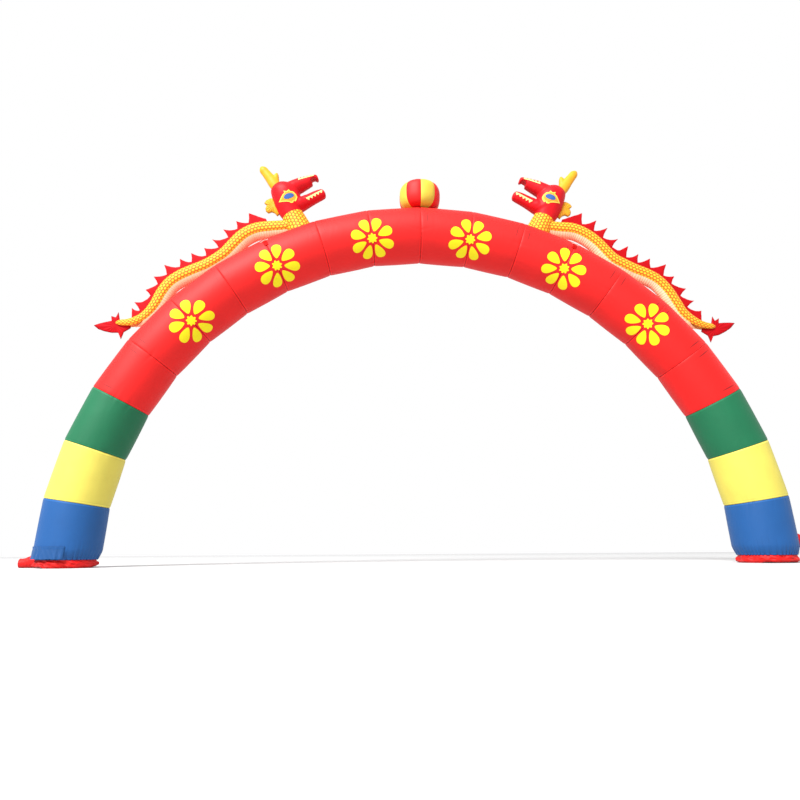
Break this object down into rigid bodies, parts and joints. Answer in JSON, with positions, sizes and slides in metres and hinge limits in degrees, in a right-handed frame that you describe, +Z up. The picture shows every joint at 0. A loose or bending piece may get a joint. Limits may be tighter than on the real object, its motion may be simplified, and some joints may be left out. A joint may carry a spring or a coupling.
{
  "type": "inflatable arch",
  "caption": "Inflatable half-ring arch of sewn cloth segments with a scaled dragon on each shoulder and a striped ball at the crown; stands on round feet and frames an entrance.",
  "frame": {"origin": "on the ground, midway between the two feet, under the crown", "axes": "+X along the span to the right foot, -Y to the front, +Z up"},
  "size_m": [10.6595, 0.8083, 5.801],
  "materials": {
    "red_cloth": "smooth coated cloth, slight sheen",
    "yellow_cloth": "smooth coated cloth, slight sheen",
    "green_cloth": "smooth coated cloth, slight sheen",
    "blue_cloth": "smooth coated cloth, slight sheen",
    "scaled_cloth": "printed cloth, slight sheen",
    "belly_cloth": "thin cloth, satin",
    "crimson_cloth": "smooth cloth, satin",
    "gold_cloth": "smooth cloth, satin",
    "skirt_cloth": "crumpled cloth, dull"
  },
  "bodies": {
    "root": {"leg_left_blue": "blue_cloth", "leg_left_yellow": "yellow_cloth", "leg_left_green": "green_cloth", "leg_right_blue": "blue_cloth", "leg_right_yellow": "yellow_cloth", "leg_right_green": "green_cloth", "arch_red_01": "red_cloth", "arch_red_02": "red_cloth", "arch_red_03": "red_cloth", "arch_red_04": "red_cloth", "arch_red_05": "red_cloth", "arch_red_06": "red_cloth", "arch_red_07": "red_cloth", "arch_red_08": "red_cloth", "arch_red_09": "red_cloth", "arch_red_10": "red_cloth", "arch_red_11": "red_cloth", "arch_red_12": "red_cloth", "arch_red_13": "red_cloth", "arch_red_14": "red_cloth", "ball_gore_1": "yellow_cloth", "ball_gore_2": "red_cloth", "ball_gore_3": "yellow_cloth", "ball_gore_4": "red_cloth", "ball_gore_5": "yellow_cloth", "ball_gore_6": "red_cloth", "ball_gore_7": "yellow_cloth", "ball_gore_8": "red_cloth", "foot_skirt_left": "skirt_cloth", "air_sleeve_left": "skirt_cloth", "anchor_tab_left": "crimson_cloth", "dragon_left_body": "scaled_cloth", "dragon_left_belly": "belly_cloth", "dragon_left_fin": "crimson_cloth", "dragon_left_head": "crimson_cloth", "dragon_left_tail": "crimson_cloth", "dragon_left_horn": "gold_cloth", "dragon_left_mane": "gold_cloth", "foot_skirt_right": "skirt_cloth", "air_sleeve_right": "skirt_cloth", "anchor_tab_right": "crimson_cloth", "dragon_right_body": "scaled_cloth", "dragon_right_belly": "belly_cloth", "dragon_right_fin": "crimson_cloth", "dragon_right_head": "crimson_cloth", "dragon_right_tail": "crimson_cloth", "dragon_right_horn": "gold_cloth", "dragon_right_mane": "gold_cloth", "vent_flap": "blue_cloth"}
  },
  "joints": []
}
